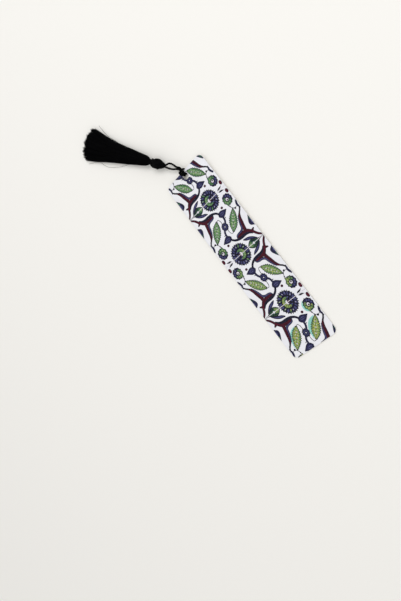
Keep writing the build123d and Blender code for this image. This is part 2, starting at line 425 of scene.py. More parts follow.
def smooth_line(points, steps):
    """Points on a smooth line through the given tuples, with so many steps between two."""
    last = len(points) - 1
    line = []
    for index in range(last):
        before, here = points[max(index - 1, 0)], points[index]
        after, beyond = points[index + 1], points[min(index + 2, last)]
        for step in range(steps):
            t = step / steps
            line.append(tuple(
                0.5 * (2 * b + (c - a) * t + (2 * a - 5 * b + 4 * c - d) * t**2
                       + (3 * b - a - 3 * c + d) * t**3)
                for a, b, c, d in zip(before, here, after, beyond)
            ))
    line.append(tuple(points[last]))
    return line


def cord_line(route, resolution=14):
    """Points of the NURBS spline that has a cord's route as its control points."""
    curve = bpy.data.curves.new("route", "CURVE")
    curve.dimensions = "3D"
    curve.resolution_u = resolution
    spline = curve.splines.new("NURBS")
    spline.points.add(len(route) - 1)
    for control, point in zip(spline.points, route):
        control.co = (*point, 1)
    spline.order_u = 3
    spline.use_endpoint_u = True
    holder = bpy.data.objects.new("route", curve)
    bpy.context.scene.collection.objects.link(holder)
    bpy.context.view_layer.update()
    evaluated = holder.evaluated_get(bpy.context.evaluated_depsgraph_get())
    mesh = bpy.data.meshes.new_from_object(evaluated)
    points = [vertex.co.copy() for vertex in mesh.vertices]
    bpy.data.objects.remove(holder)
    bpy.data.curves.remove(curve)
    bpy.data.meshes.remove(mesh)
    return points


def line_length(points):
    return sum((b - a).length for a, b in zip(points, points[1:]))


def point_past(points, distance):
    """Index of the first point of a line at or past a distance from its start."""
    return next(index for index in range(len(points)) if line_length(points[:index + 1]) >= distance)


def tube(mesh, points, radius, sides, plies=0, groove=0.0, turns=0.0, outward=None):
    """Adds a tube along points to a bmesh, with grooves between twisted plies.

    With outward, a direction for each point, the tube closes on itself; otherwise its ends
    are rounded off.
    """
    closed = outward is not None
    uv = mesh.loops.layers.uv.verify()
    count = len(points)
    side = None
    rings = []
    travelled = 0.0
    places = []
    total = line_length(points)
    for index, point in enumerate(points):
        before = points[index - 1] if closed or index else point
        after = points[(index + 1) % count] if closed or index < count - 1 else point
        way = (after - before).normalized()
        if closed:
            side = outward[index]
        elif side is None:
            side = way.orthogonal()
        side = (side - way * side.dot(way)).normalized()
        other = way.cross(side)
        travelled += (point - points[index - 1]).length if index else 0.0
        twist = 2 * math.pi * turns * (index / count if closed else travelled / total)
        ring = []
        for step in range(sides):
            angle = 2 * math.pi * step / sides
            reach = radius
            if plies:
                reach = radius * (1 - groove * (1 - abs(math.cos(plies * angle / 2)) ** PLY_ROUNDNESS))
            angle += twist
            ring.append(mesh.verts.new(point + (side * math.cos(angle) + other * math.sin(angle)) * reach))
        rings.append(ring)
        places.append(travelled / MM)
    pairs = list(zip(range(count - 1), range(1, count)))
    if closed:
        pairs.append((count - 1, 0))
        places.append(places[-1] + (points[0] - points[-1]).length / MM)
    for low, high in pairs:
        near, next_ring = rings[low], rings[high]
        for step in range(sides):
            beside = (step + 1) % sides
            face = mesh.faces.new((near[step], near[beside], next_ring[beside], next_ring[step]))
            face.smooth = True
            far = places[low + 1]
            corners = ((step, places[low]), (step + 1, places[low]), (step + 1, far), (step, far))
            for loop, (around, along) in zip(face.loops, corners):
                loop[uv].uv = (around / sides, along)
    if not closed:
        round_ends(mesh, points, rings, radius)


def round_ends(mesh, points, rings, radius):
    """Domed ends of a tube."""
    ends = (
        (rings[0], points[0] - points[1], points[0], True),
        (rings[-1], points[-1] - points[-2], points[-1], False),
    )
    dome_levels = (0.5, 0.82)
    for ring, way, middle, flip in ends:
        way = way.normalized()
        last = ring
        for lift in dome_levels:
            share = math.sqrt(1 - lift**2)
            level = [mesh.verts.new(middle + (v.co - middle) * share + way * radius * lift) for v in ring]
            dome_faces(mesh, last, level, flip)
            last = level
        tip = mesh.verts.new(middle + way * radius)
        for step in range(len(last)):
            corners = (last[step], last[(step + 1) % len(last)], tip)
            mesh.faces.new(corners[::-1] if flip else corners).smooth = True


def dome_faces(mesh, low, high, flip):
    for step in range(len(low)):
        after = (step + 1) % len(low)
        corners = (low[step], low[after], high[after], high[step])
        mesh.faces.new(corners[::-1] if flip else corners).smooth = True


def mesh_from(name, build):
    """A mesh that a function draws into an empty bmesh."""
    drawing = bmesh.new()
    build(drawing)
    mesh = bpy.data.meshes.new(name)
    drawing.to_mesh(mesh)
    drawing.free()
    return mesh


def twisted_tube(drawing, points, settings):
    """A length of the twisted cord along points."""
    turns = line_length(points) / settings.lay
    radius = settings.diameter / 2 + settings.proud
    tube(drawing, points, radius, CORD_SIDES, settings.plies, settings.groove, turns)


# Places of the tassel, from the joints of the frame
def level_way(start, end):
    way = end - start
    return Vector((way.x, way.y, 0)).normalized()


def right_of(way):
    return Vector((way.y, -way.x, 0))


SLIP_WAY = Vector((0, 1, 0))
LOOP_WAY = level_way(PIVOTS["loop_lift"], PIVOTS["knot_swing"])
KNOT_WAY = level_way(PIVOTS["knot_swing"], PIVOTS["skirt_lift"])


def loop_place(along, aside):
    """A point of the loop: share of its length, and millimetres to the right."""
    start, end = PIVOTS["loop_lift"], PIVOTS["knot_swing"]
    return start.lerp(end, along) + right_of(LOOP_WAY) * aside * MM


def knot_place(along, aside, rise=0.0):
    """A point beyond the knot's pivot, along the tassel, to the right and up, in millimetres."""
    start = PIVOTS["knot_swing"]
    return start + (KNOT_WAY * along + right_of(KNOT_WAY) * aside + UP * rise) * MM


def neck_middle(aside):
    """The middle of the doubled run that leaves the hitch, and millimetres to the right."""
    return PIVOTS["cord_swing"].lerp(PIVOTS["loop_lift"], 0.5) + right_of(LOOP_WAY) * aside * MM


def hitch_route(settings):
    """The cord through the hole and round the top edge, from run to run in the neck's middle."""
    top = SLIP_HIGH.y / MM
    half = settings.half_pair / MM
    right = [
        (0.92, top - 0.4, 2.05),
        (1.0, top - 1.58, 2.05),
        (1.0, top - 2.82, 2.05),
        (1.05, top - 3.7, 1.17),
        (1.1, top - 3.7, -0.07),
        (1.2, top - 2.82, -0.95),
        (1.5, top - 1.58, -0.95),
        (1.8, top - 0.48, -0.95),
        (2.0, top + 0.48, -0.95),
        (2.1, top + 1.15, -0.28),
        (2.1, top + 1.15, 0.68),
        (2.1, top + 1.15, 2.9),
        (2.15, top - 0.4, 3.9),
        (1.9, top - 2.9, 3.95),
    ]
    route = [Vector(point) * MM for point in right]
    route += [Vector((-x, y, z)) * MM for x, y, z in reversed(right)]
    ends = []
    for side in (half, -half):
        swing = PIVOTS["cord_swing"] + right_of(LOOP_WAY) * side * MM
        ends.append([neck_middle(side), swing, Vector((side, top + 1.4, 2.0)) * MM])
    return ends[0] + route + ends[1][::-1]


def loop_route(settings):
    """From the neck's middle: the right run, a turn hidden in the knot and the left run back."""
    half = settings.half_pair / MM
    right = [(0, half), (0.1, half), (0.42, 2.9), (0.74, 3.2), (0.92, 1.15), (1.05, half)]
    left = [(0, -half), (0.1, -half), (0.38, -1.75), (0.72, -1.5), (0.93, -half), (1, -half)]
    inside = [(3.2, half), (5.4, 1.5), (7.6, 1.9), (8.8, 0.0), (7.6, -1.9), (5.4, -1.5), (3.2, -half)]
    route = [neck_middle(half)] + [loop_place(along, aside) for along, aside in right]
    route += [knot_place(along, aside) for along, aside in inside]
    route += [loop_place(along, aside) for along, aside in reversed(left)]
    return route + [neck_middle(-half)]


# Tile ornament: flat shapes of the half tile on one side of a joint, drawn once
INK_LAYERS = (
    "sea", "line", "cobalt", "lavender", "teal", "leaf", "young_leaf", "wine", "pale", "spot", "seam",
)

# Straight cuts that trim the print, and the share of the slip over which it narrows
OUTLINE_CUTS = 48
HOLE_CUTS = 32
NARROWED_SHARE = 0.45


class HalfTile:
    """Shapes by ink: x to the right, d away from the tile joint, in millimetres."""

    def __init__(self):
        self.points = {ink_name: [] for ink_name in INK_LAYERS}
        self.faces = {ink_name: [] for ink_name in INK_LAYERS}
        self.strokes = {ink_name: 0 for ink_name in INK_LAYERS}

    def add(self, ink_name, points, faces):
        """Adds a stroke, which lies just above the strokes before it in the same ink."""
        first = len(self.points[ink_name])
        self.strokes[ink_name] += 1
        self.points[ink_name].extend((x, d, self.strokes[ink_name]) for x, d in points)
        self.faces[ink_name].extend(tuple(first + corner for corner in face) for face in faces)

    def mesh_of(self, ink_name, step, top=0.0, height=0.0):
        """A flat mesh of one ink's strokes, with d counted down from the top."""
        mesh = bpy.data.meshes.new("ornament_" + ink_name)
        points = [(x * MM, top - d * MM, height + stroke * step) for x, d, stroke in self.points[ink_name]]
        mesh.from_pydata(points, [], self.faces[ink_name])
        return mesh

    def fan(self, ink_name, middle, rim):
        """A shape seen whole from its middle, as triangles to its rim."""
        self.add(ink_name, [middle] + rim, [(0, step, step + 1) for step in range(1, len(rim))])

    def disc(self, ink_name, x, d, across, along=None, teeth=0, depth=0.0, start=0, end=360):
        """An ellipse or part of one, with pointed teeth or round scallops on its rim."""
        along = across if along is None else along
        count = max(12, 6 * teeth) if teeth else 28
        rim = []
        for step in range(count + 1):
            angle = math.radians(start + (end - start) * step / count)
            phase = math.pi * teeth * angle / (2 * math.pi) if teeth else 0.0
            cut = depth * abs(math.sin(phase)) ** 0.7 * (1 + 0.3 * math.sin(2.9 * phase))
            rim.append((x + (across - cut) * math.cos(angle), d + (along - cut) * math.sin(angle)))
        self.fan(ink_name, (x, d), rim)

    def band(self, ink_name, line, grow=0.0, steps=6, saw=0.0):
        """A ribbon along points (x, d, half width), which may end in points or be sawn."""
        line = smooth_line(line, steps)
        last = len(line) - 1
        points = []
        for index, (x, d, half) in enumerate(line):
            ahead, behind = line[min(index + 1, last)], line[max(index - 1, 0)]
            way = Vector((ahead[0] - behind[0], ahead[1] - behind[1])).normalized()
            end = -grow if index == 0 else grow if index == last else 0.0
            wide = max(half, 0.0) * (1 + saw * ((index % 3) - 1)) + grow
            middle = Vector((x, d)) + way * end
            edge = Vector((-way.y, way.x)) * wide
            points.extend([tuple(middle + edge), tuple(middle - edge)])
        faces = [(2 * i, 2 * i + 1, 2 * i + 3, 2 * i + 2) for i in range(last)]
        self.add(ink_name, points, faces)

    def outlined(self, ink_name, line, outline=0.38, **shape):
        self.band("line", line, grow=outline, **shape)
        self.band(ink_name, line, **shape)

    def arc(self, ink_name, x, d, radius, start, end, halves):
        """A ribbon along an arc, with its half widths spread evenly over it."""
        line = []
        for index, half in enumerate(halves):
            angle = math.radians(start + (end - start) * index / (len(halves) - 1))
            line.append((x + radius * math.cos(angle), d + radius * math.sin(angle), half))
        self.band(ink_name, line)

    def half_lens(self, ink_name, line):
        """A shape between the joint and a line of (x, height)."""
        line = smooth_line(line, 6)
        points = [corner for x, high in line for corner in ((x, 0.0), (x, max(high, 0.0)))]
        faces = [(2 * i, 2 * i + 1, 2 * i + 3, 2 * i + 2) for i in range(len(line) - 1)]
        self.add(ink_name, points, faces)


def joint_rosette(tile):
    """Half of the large serrated flower that sits on a joint."""
    x = 4.1

    def ray(angle, reach):
        turn = math.radians(angle)
        return x + reach * math.cos(turn), 1.03 * reach * math.sin(turn)

    tile.disc("line", x, 0, 11.0, 11.3, teeth=28, depth=1.2, end=180)
    tile.disc("cobalt", x, 0, 9.9, 10.2, teeth=28, depth=1.0, end=180)
    petals = 9
    for petal in range(petals):
        angle = 180 / petals * (petal + 0.5)
        tone = "leaf" if petal in (5, 7) else "lavender"
        uneven = 0.3 * math.sin(2.3 * petal + 0.8)
        middle = (*ray(angle, 7.9 + uneven), 0.75 + uneven)
        tile.band(tone, [(*ray(angle - 4, 6.4), 0.3), middle, (*ray(angle + 4, 9.3), 0.1)])
        parting = [(*ray(angle + 5, 6.2), 0.1), (*ray(angle + 9, 8.0), 0.3), (*ray(angle + 12, 10.0), 0.1)]
        tile.band("spot", parting)
        if petal % 3 == 1:
            tile.disc("pale", *ray(angle, 7.6), 0.36)
    tile.arc("spot", x, 0, 5.9, 0, 180, [0.4, 0.45, 0.5, 0.45, 0.4])
    tile.arc("leaf", x + 0.4, 0, 4.0, 180, 66, [1.75, 1.7, 1.5, 1.0, 0.2])
    tile.arc("young_leaf", x + 0.4, 0, 4.3, 180, 84, [0.85, 0.8, 0.65, 0.3, 0.1])
    tile.arc("pale", x + 0.6, 0, 1.7, 180, 96, [0.85, 0.8, 0.55, 0.1])
    tile.disc("wine", x + 1.1, 0, 1.2, 1.05, end=180)
    for angle, reach in ((48, 4.4), (16, 4.3)):
        tile.disc("lavender", *ray(angle, reach), 0.9, 0.7)
    for angle in (172, 146, 118, 92):
        tile.band("spot", [(*ray(angle, 2.6), 0.1), (*ray(angle + 5, 4.6), 0.2)])
    tile.band("spot", [(x + 1.7, 0.9, 0.2), (x + 3.0, 1.9, 0.8), (x + 4.4, 3.2, 0.1)])


def joint_bud(tile):
    """Half of the opening bud that lies on a joint, with its curled lip."""
    rim = [(-28.4, 0.5), (-22.0, 0.6), (-19.4, 1.6), (-15.5, 3.7), (-12.2, 4.3), (-9.0, 2.9), (-6.2, 0.2)]
    body = [(-19.8, 0.2), (-16.4, 2.3), (-12.4, 3.7), (-9.4, 2.3), (-6.8, 0.0)]
    lip = [(-19.0, 1.9, 0.2), (-16.2, 4.2, 0.7), (-12.8, 5.9, 1.15), (-9.4, 7.1, 0.9), (-6.9, 8.2, 0.1)]
    tile.half_lens("line", rim)
    tile.half_lens("teal", body)
    tile.half_lens("leaf", [(-12.6, 0.2), (-11.2, 2.4), (-9.3, 1.9), (-7.2, 0.0)])
    tile.half_lens("young_leaf", [(-10.6, 0.2), (-9.7, 1.2), (-8.7, 1.0), (-7.7, 0.0)])
    tile.disc("cobalt", -16.6, 0.9, 1.7, 1.1)
    tile.band("spot", [(-17.4, 0.8, 0.15), (-15.2, 2.0, 0.4), (-12.8, 2.7, 0.35), (-10.4, 2.4, 0.05)])
    tile.disc("pale", -13.6, 0, 1.15, 1.0, end=180)
    tile.disc("wine", -12.9, 0, 0.65, 0.6, end=180)
    tile.outlined("cobalt", lip)
    tile.band("lavender", [(-16.6, 4.0, 0.1), (-14.2, 5.3, 0.4), (-11.4, 6.4, 0.55), (-8.8, 7.3, 0.1)])


def split_palmette(tile):
    """Dark red forked leaf that grows from the edge, with its lining, its hook and its stem."""
    root = [(-28.2, 0.3, 0.35), (-25.4, 1.7, 0.4), (-22.3, 4.6, 0.65), (-19.3, 9.2, 0.85)]
    root += [(-15.8, 12.4, 1.25), (-12.6, 13.5, 1.2)]
    arm = [(-14.6, 12.8, 1.2), (-10.6, 13.6, 1.15), (-7.0, 13.7, 1.15), (-4.9, 13.5, 0.85), (-4.2, 13.4, 0.3)]
    long_arm = [(-14.6, 13.0, 1.35), (-15.3, 17.0, 1.35), (-16.6, 21.2, 1.2), (-17.8, 25.2, 0.95)]
    long_arm += [(-19.2, 28.0, 0.7), (-20.6, 29.5, 0.2)]
    hook = [(-18.8, 27.6, 0.6), (-20.6, 29.7, 0.75), (-22.8, 31.5, 0.75)]
    hook += [(-24.3, 33.8, 0.65), (-24.7, 36.2, 0.3)]
    thorn = [(-18.4, 8.4, 0.9), (-20.8, 9.8, 0.6), (-22.4, 10.5, 0.05)]
    lining = [(-3.3, 13.2, 0.15), (-4.4, 14.7, 0.5), (-6.8, 15.3, 0.7), (-10.4, 15.7, 0.75)]
    lining += [(-13.2, 17.4, 0.8), (-14.4, 21.0, 0.7), (-16.0, 25.0, 0.45), (-17.9, 28.2, 0.15)]
    stem = [(-18.6, 7.6, 0.2), (-16.2, 9.7, 0.55), (-12.6, 10.8, 0.75), (-8.2, 10.9, 0.8)]
    stem += [(-3.6, 11.5, 0.75), (0.5, 13.4, 0.65), (3.2, 16.4, 0.6)]
    tile.outlined("cobalt", lining)
    tile.band("lavender", [(x, d, half * 0.45) for x, d, half in lining])
    tile.outlined("cobalt", stem)
    tile.band("spot", [(x, d, half * 0.5) for x, d, half in stem])
    tile.band("line", hook)
    for piece in (root, arm, long_arm, thorn):
        tile.outlined("wine", [(x, d, half * 0.9) for x, d, half in piece], outline=0.58)
    tile.band("spot", [(-15.0, 13.8, 0.12), (-15.9, 19.0, 0.25), (-17.4, 24.0, 0.22), (-19.0, 27.6, 0.05)])
    tile.band("spot", [(-6.0, 13.9, 0.05), (-9.6, 13.9, 0.2), (-13.6, 13.2, 0.2), (-17.4, 11.2, 0.05)])


def small_palmette(tile):
    """Pointed blue bud at the end of the stem, and the dot beside it."""
    bud = [(1.9, 17.2, 1.2), (4.0, 17.9, 2.7), (7.0, 18.0, 2.7), (9.6, 17.7, 1.5), (12.0, 17.4, 0.05)]
    tile.outlined("cobalt", bud)
    tile.band("lavender", [(3.0, 17.7, 0.3), (6.0, 17.9, 1.4), (9.4, 17.6, 0.1)])
    tile.band("spot", [(2.2, 17.4, 0.2), (6.0, 17.9, 0.26), (10.6, 17.6, 0.05)])
    tile.outlined("cobalt", [(2.8, 19.0, 0.5), (5.0, 20.6, 0.8), (7.6, 20.6, 0.05)])
    tile.disc("line", 9.4, 13.7, 1.35, 1.2)
    tile.disc("wine", 9.4, 13.7, 0.85, 0.7)


def round_flower(tile):
    """Flower near the edge, green on its outer side, with a white eye."""
    x, d = 19.4, 11.5

    def ray(angle, reach):
        turn = math.radians(angle)
        return x + reach * math.cos(turn), d + reach * math.sin(turn)

    tile.disc("line", x, d, 5.7, 6.0, teeth=11, depth=0.6)
    tile.disc("cobalt", x, d, 4.7, 5.0, teeth=11, depth=0.5)
    tile.outlined("leaf", [(*ray(119, 3.2), 1.6), (*ray(119, 4.9), 1.1), (*ray(119, 6.4), 0.05)])
    tile.arc("leaf", x, d, 3.2, 24, 240, [0.4, 1.5, 1.7, 1.7, 1.4, 0.4])
    tile.arc("young_leaf", x, d, 3.5, 80, 190, [0.1, 0.6, 0.75, 0.5, 0.1])
    for angle in (-80, -42, -4):
        tile.band("lavender", [(*ray(angle, 2.3), 0.2), (*ray(angle, 3.4), 0.75), (*ray(angle, 4.6), 0.1)])
    for angle in (60, 97, 140, 180):
        tile.band("spot", [(*ray(angle, 2.0), 0.05), (*ray(angle + 4, 3.4), 0.24), (*ray(angle, 4.8), 0.12)])
    tile.arc("spot", x, d, 2.2, 0, 360, [0.3, 0.2, 0.35, 0.25, 0.35, 0.3])
    tile.disc("pale", x - 0.3, d, 1.45, 1.5)
    tile.disc("spot", x - 0.1, d + 0.45, 0.8)


def edge_flower(tile):
    """Blue palmette that the slip's edge cuts in half, with its tip away from the joint."""
    petal = [(-26.3, 12.6, 1.0), (-26.0, 14.6, 3.5), (-26.0, 17.0, 3.5)]
    petal += [(-26.2, 20.2, 1.9), (-26.6, 23.6, 0.1)]
    tile.outlined("cobalt", petal, outline=0.45)
    tile.band("lavender", [(-26.4, 14.0, 0.4), (-26.1, 16.0, 1.8), (-26.3, 18.6, 1.0), (-26.6, 20.6, 0.1)])
    tile.band("teal", [(-24.8, 18.2, 0.1), (-25.5, 20.0, 0.8), (-26.6, 22.6, 0.1)])
    tile.band("spot", [(-24.0, 14.6, 0.1), (-24.2, 16.8, 0.3), (-25.6, 19.6, 0.1)])


def serrated_leaf(tile):
    """Green saw-edged leaf with side veins, small blossoms and flecks along its vein."""
    leaf = [(-17.8, 36.6, 0.05), (-15.4, 33.4, 2.2), (-11.6, 28.9, 3.7), (-7.8, 24.3, 3.2), (-4.5, 20.5, 0.5)]
    inner = [(x, d, half * 0.62) for x, d, half in leaf]
    along, aside = Vector((0.637, -0.771)), Vector((0.771, 0.637))
    tip = Vector(leaf[0][:2])
    tile.outlined("leaf", leaf, outline=0.6, steps=9, saw=0.14)
    tile.band("young_leaf", inner, steps=9, saw=0.2)
    tile.band("spot", [(x, d, 0.13) for x, d, half in leaf])
    for reach, wide in ((4.0, 1.5), (6.6, 2.4), (9.4, 2.9), (12.2, 2.8), (15.0, 2.2), (17.6, 1.2)):
        for way in (1, -1):
            root = tip + along * reach
            end = root + aside * way * wide - along * 1.1
            tile.band("spot", [(*root, 0.05), (*end, 0.17)])
    for reach, offset, radius in ((3.2, 0.2, 0.3), (8.0, 0.9, 0.34), (8.3, -1.0, 0.3), (13.4, 0.9, 0.3),
                                  (13.8, -0.9, 0.34), (18.2, 0.1, 0.28)):
        tile.disc("pale", *(tip + along * reach + aside * offset), radius)
    for reach in (5.6, 10.8, 16.0):
        centre = tip + along * reach
        tile.disc("pale", *centre, 0.72)
        tile.disc("wine", *centre, 0.32)
        tile.disc("spot", *centre, 0.26)
    tile.band("line", [(-4.9, 20.8, 0.4), (-3.4, 19.8, 0.3), (-1.2, 19.8, 0.15)])


def centre_rosette(tile):
    """Half of the small blue flower in the middle of a tile; the next joint has the rest."""
    d = 29.125
    near_half = {"start": 180, "end": 360}
    tile.disc("line", 0, d, 4.3, teeth=10, depth=0.7, **near_half)
    tile.disc("cobalt", 0, d, 3.6, teeth=10, depth=0.6, **near_half)
    tile.disc("lavender", 0, d, 2.5, teeth=10, depth=0.6, **near_half)
    tile.arc("spot", 0, d, 1.25, 180, 360, [0.35, 0.25, 0.35, 0.25, 0.35])
    tile.disc("pale", 0, d, 0.5, **near_half)


def draw_wash():
    """Washes beside the lowest leaves and flower: x to the right, d down from the top edge."""
    wash = HalfTile()
    aside = Vector((-0.775, -0.63))
    for start, end, wide in (((-4.5, 178.4), (-17.6, 194.5), 0.9), ((17.6, 180.0), (4.5, 196.0), 1.7)):
        line = []
        for share, offset, half in ((0.0, 1.6, 0.1), (0.28, 4.5, 1.0), (0.65, 4.8, 1.0), (1.0, 2.0, 0.1)):
            place = Vector(start).lerp(Vector(end), share) + aside * offset
            line.append((*place, half * wide))
        wash.band("sea", line)
    wash.arc("sea", 19.4, 169.6, 6.0, 105, 235, [0.1, 0.8, 0.9, 0.8, 0.1])
    return wash


def twigs(tile):
    """Thin stems, dots and small leaves between the flowers."""
    tile.band("line", [(-1.6, 19.8, 0.2), (-0.6, 22.0, 0.28), (-0.4, 25.8, 0.3)])
    tile.outlined("cobalt", [(4.4, 19.8, 0.5), (4.4, 22.4, 0.55), (4.0, 24.6, 0.65), (2.2, 27.2, 0.6)])
    tile.band("line", [(4.3, 22.0, 0.5), (5.9, 22.9, 0.4), (7.2, 22.5, 0.05)])
    tile.band("line", [(17.2, 16.6, 0.2), (17.0, 18.6, 0.3), (18.4, 21.2, 0.25), (20.2, 22.6, 0.25)])
    tile.disc("line", 17.0, 18.4, 0.7, 0.55)
    tile.disc("line", 20.3, 22.8, 1.05, 0.95)
    tile.band("line", [(20.3, 22.8, 0.25), (22.6, 22.3, 0.2), (25.4, 23.4, 0.3)])
    tile.outlined("cobalt", [(25.6, 17.6, 0.5), (24.3, 20.2, 0.7), (24.0, 22.6, 0.6), (24.8, 25.4, 0.05)])
    tile.band("line", [(16.6, 1.0, 0.05), (18.6, 1.4, 0.75), (20.6, 1.7, 0.65), (22.8, 2.6, 0.05)])
    tile.disc("line", 24.5, 5.0, 1.7, 2.3)
    tile.disc("wine", 24.5, 5.0, 1.3, 1.9)
    tile.half_lens("seam", [(-28.4, 0.24), (0.0, 0.24), (28.4, 0.24)])


def draw_half_tile():
    tile = HalfTile()
    for motif in (joint_rosette, joint_bud, split_palmette, small_palmette, round_flower,
                  edge_flower, serrated_leaf, centre_rosette, twigs):
        motif(tile)
    return tile


def tile_repeat_tree():
    """Repeats a half tile on both sides of every joint, turned over on each second joint."""
    tree = bpy.data.node_groups.new("tile_repeat", "GeometryNodeTree")
    inputs = [
        ("Half tile", "NodeSocketObject", None),
        ("Ink", "NodeSocketMaterial", None),
        ("Joints", "NodeSocketInt", 5),
        ("First joint", "NodeSocketFloat", 0.1),
        ("Tile pitch", "NodeSocketFloat", 0.05),
        ("Height", "NodeSocketFloat", 0.001),
    ]
    entry, result = group_sockets(tree, inputs, [("Geometry", "NodeSocketGeometry")])
    start = node(tree, "ShaderNodeCombineXYZ")
    feed(tree, start, 0.0, entry.outputs["First joint"], entry.outputs["Height"])
    step = node(tree, "ShaderNodeCombineXYZ")
    feed(tree, step, 0.0, maths(tree, "MULTIPLY", entry.outputs["Tile pitch"], -1.0), 0.0)
    joints = node(tree, "GeometryNodeMeshLine", mode="OFFSET")
    feed(tree, joints, entry.outputs["Joints"], None, start.outputs[0], step.outputs[0])
    shape = node(tree, "GeometryNodeObjectInfo")
    feed(tree, shape, entry.outputs["Half tile"], False)
    parity = maths(tree, "MODULO", node(tree, "GeometryNodeInputIndex").outputs[0], 2.0)
    turn = maths(tree, "SUBTRACT", maths(tree, "MULTIPLY", parity, 2.0), 1.0)
    together = node(tree, "GeometryNodeJoinGeometry")
    for side in (1.0, -1.0):
        scale = node(tree, "ShaderNodeCombineXYZ")
        feed(tree, scale, turn, side, 1.0)
        copies = node(tree, "GeometryNodeInstanceOnPoints")
        tree.links.new(joints.outputs[0], copies.inputs["Points"])
        tree.links.new(shape.outputs["Geometry"], copies.inputs["Instance"])
        tree.links.new(scale.outputs[0], copies.inputs["Scale"])
        tree.links.new(copies.outputs[0], together.inputs[0])
    real = node(tree, "GeometryNodeRealizeInstances")
    tree.links.new(together.outputs[0], real.inputs[0])
    inked = node(tree, "GeometryNodeSetMaterial")
    feed(tree, inked, real.outputs[0], None, entry.outputs["Ink"])
    tree.links.new(inked.outputs[0], result.inputs[0])
    return tree


def fit_print(mesh, settings):
    """Draws the print out along the slip, so that its tiles grow toward the plain end."""
    length = SLIP_HIGH.y - SLIP_LOW.y
    for vertex in mesh.vertices:
        share = (SLIP_HIGH.y - vertex.co.y) / length
        drawn = length * settings.top_scale * share / (1 + (settings.top_scale - 1) * share)
        vertex.co.y = SLIP_HIGH.y + settings.print_rise - drawn
        near_top = max(1 - share / NARROWED_SHARE, 0.0)
        vertex.co.x *= settings.print_width - settings.top_narrowing * near_top**2


def slip_outline(settings):
    """Straight cuts round the slip, as points on the rim and directions outward."""
    wide, high = SLIP_HIGH.x - settings.margin, SLIP_HIGH.y - settings.margin
    radius = settings.corner
    cuts = []
    for step in range(OUTLINE_CUTS):
        angle = 2 * math.pi * step / OUTLINE_CUTS
        way = Vector((math.cos(angle), math.sin(angle), 0))
        corner = Vector((math.copysign(wide - radius, way.x), math.copysign(high - radius, way.y), 0))
        cuts.append((corner + way * radius, way))
    return cuts


def trim_to_slip(mesh, settings):
    """Cuts the ornament off at the slip's outline and at the hole, and turns it face up."""
    outline = slip_outline(settings)
    hole = Vector((0, SLIP_HIGH.y - settings.hole_inset, 0))
    reach = settings.hole + settings.margin
    rim = []
    for step in range(HOLE_CUTS):
        angle = 2 * math.pi * step / HOLE_CUTS
        way = Vector((math.cos(angle), math.sin(angle), 0))
        rim.append((hole + way * reach, way))
    drawing = bmesh.new()
    drawing.from_mesh(mesh)
    for point, way in outline:
        cut_near(drawing, point, way, lambda spot: (spot - point).dot(way) > 0)
    for point, way in rim:
        cut_near(drawing, point, way, lambda spot: (spot - hole).to_2d().length < 2 * reach)
    lost = []
    for face in drawing.faces:
        spot = face.calc_center_median()
        spot.z = 0
        outside = any((spot - point).dot(way) > 0 for point, way in outline)
        inside = all((spot - point).dot(way) < 0 for point, way in rim)
        if outside or inside:
            lost.append(face)
    bmesh.ops.delete(drawing, geom=lost, context="FACES")
    for face in drawing.faces:
        face.normal_update()
        if face.normal.z < 0:
            face.normal_flip()
    drawing.to_mesh(mesh)
    drawing.free()


def cut_near(drawing, point, way, near):
    """Cuts the faces that have a corner in the given region along a plane."""
    flat = Vector((1, 1, 0))
    faces = [face for face in drawing.faces if any(near(vertex.co * flat) for vertex in face.verts)]
    edges = {edge for face in faces for edge in face.edges}
    corners = {vertex for face in faces for vertex in face.verts}
    parts = faces + list(edges) + list(corners)
    bmesh.ops.bisect_plane(drawing, geom=parts, dist=1e-8, plane_co=point, plane_no=way)


def ink_materials(inks):
    """One material for each ink, with the second tone that it wanders to."""
    def shade(colour, share):
        return tuple(c * share for c in colour)

    low_leaf = (inks.low_leaf, shade(inks.teal, 1.4))
    low_young = (inks.low_young, inks.low_leaf)
    leaf_fleck = (inks.young_leaf, inks.straw)
    young_fleck = (inks.low_young, inks.straw)
    return {
        "sea": ink("sea", inks.sea, shade(inks.sea, 0.8), 260.0),
        "line": ink("outline", inks.line, shade(inks.line, 1.8)),
        "cobalt": ink("cobalt", inks.cobalt, shade(inks.cobalt, 0.28), 900.0),
        "lavender": ink("lavender", inks.lavender, inks.cobalt, 900.0),
        "teal": ink("teal", inks.teal, shade(inks.teal, 0.3), 900.0, fleck=(inks.leaf, inks.low_leaf)),
        "leaf": ink("leaf", inks.leaf, shade(inks.leaf, 0.42), 900.0, low_leaf, leaf_fleck),
        "young_leaf": ink("young_leaf", inks.young_leaf, inks.leaf, 1100.0, low_young, young_fleck),
        "wine": ink("wine", inks.wine, shade(inks.wine, 0.4), 700.0),
        "pale": ink("pale", inks.pale, shade(inks.pale, 0.85)),
        "spot": ink("spot", inks.line, inks.line),
        "seam": ink("seam", inks.pale, shade(inks.pale, 0.9)),
    }


# Tassel: outline of the skirt as distance from the neck, reach to the right, left and up
SKIRT_ALONG = (-2.4, -1.8, -0.8, 1.2, 3.0, 5.5, 10.0, 15.0, 26.0, 40.0, 54.0, 66.0, 82.0, 88.0)
SKIRT_RIGHT = (0.6, 1.35, 1.9, 2.4, 3.6, 4.7, 5.2, 5.6, 6.9, 8.4, 10.8, 13.8, 18.0, 19.6)
SKIRT_LEFT = (0.6, 1.35, 1.9, 2.4, 3.6, 4.8, 5.7, 6.5, 8.4, 10.2, 12.4, 15.0, 17.6, 18.6)
SKIRT_UP = (0.6, 1.35, 1.9, 2.2, 2.7, 3.1, 3.3, 3.3, 3.2, 2.9, 2.6, 2.3, 1.9, 1.8)

